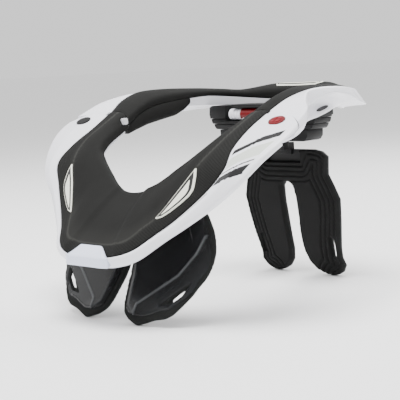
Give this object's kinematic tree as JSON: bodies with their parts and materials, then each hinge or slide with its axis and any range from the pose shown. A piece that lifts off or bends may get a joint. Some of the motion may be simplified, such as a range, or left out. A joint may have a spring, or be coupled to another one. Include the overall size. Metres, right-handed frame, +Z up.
{
  "type": "motocross neck brace",
  "caption": "Padded collar in two hinged halves over two chest plates, with a folding two-legged back strut on an adjustable carriage.",
  "frame": {"origin": "centre of the bounding box on the floor the brace stands on", "axes": "+Z up; -Y is the wearer's front; +X is the wearer's left"},
  "size_m": [0.2996, 0.31, 0.198],
  "materials": {
    "shell": "glossy white nylon",
    "badge": "glossy bluish white",
    "padding": "matte charcoal moulded foam",
    "chest_padding": "matte charcoal foam",
    "strut_padding": "matte black moulded foam",
    "chest_plate": "glossy black",
    "nylon": "satin black moulded nylon",
    "insert": "satin cream",
    "button": "glossy red"
  },
  "bodies": {
    "rear": {"rear_frame": "shell", "rear_pad": "padding", "rear_insert": "insert", "shoulder_pad_left": "padding", "shoulder_pad_right": "padding", "carriage": "nylon", "carriage_layer_upper": "nylon", "carriage_layer_lower": "nylon", "adjuster_shaft": "shell", "adjuster_sleeve": "button", "hinge_box": "nylon"},
    "front": {"front_frame": "shell", "front_pad": "padding", "front_badge": "badge", "front_insert_left": "insert", "front_insert_right": "insert", "seam_tab_left": "shell", "seam_tab_right": "shell", "hinge_cap": "nylon", "chest_plate_left": "chest_plate", "chest_plate_right": "chest_plate", "chest_pad_left": "chest_padding", "chest_pad_right": "chest_padding"},
    "button": {"release_button": "button"},
    "strut": {"strut_plate": "nylon", "strut_pad": "strut_padding"}
  },
  "joints": [
    {"name": "side_hinge", "type": "hinge", "parent": "rear", "child": "front", "pos_m": [-0.125, -0.037, 0.165], "axis": [0, 0.454, -0.891], "range_deg": [0, 30]},
    {"name": "button_press", "type": "slide", "parent": "front", "child": "button", "axis": [0, 0.454, -0.891], "range_m": [0, 0.0018], "stiffness_N_per_m": 400, "springref_m": -0.001},
    {"name": "strut_fold", "type": "hinge", "parent": "rear", "child": "strut", "pos_m": [0, 0.098, 0.136], "axis": [-1, 0, 0], "range_deg": [0, 70]}
  ]
}
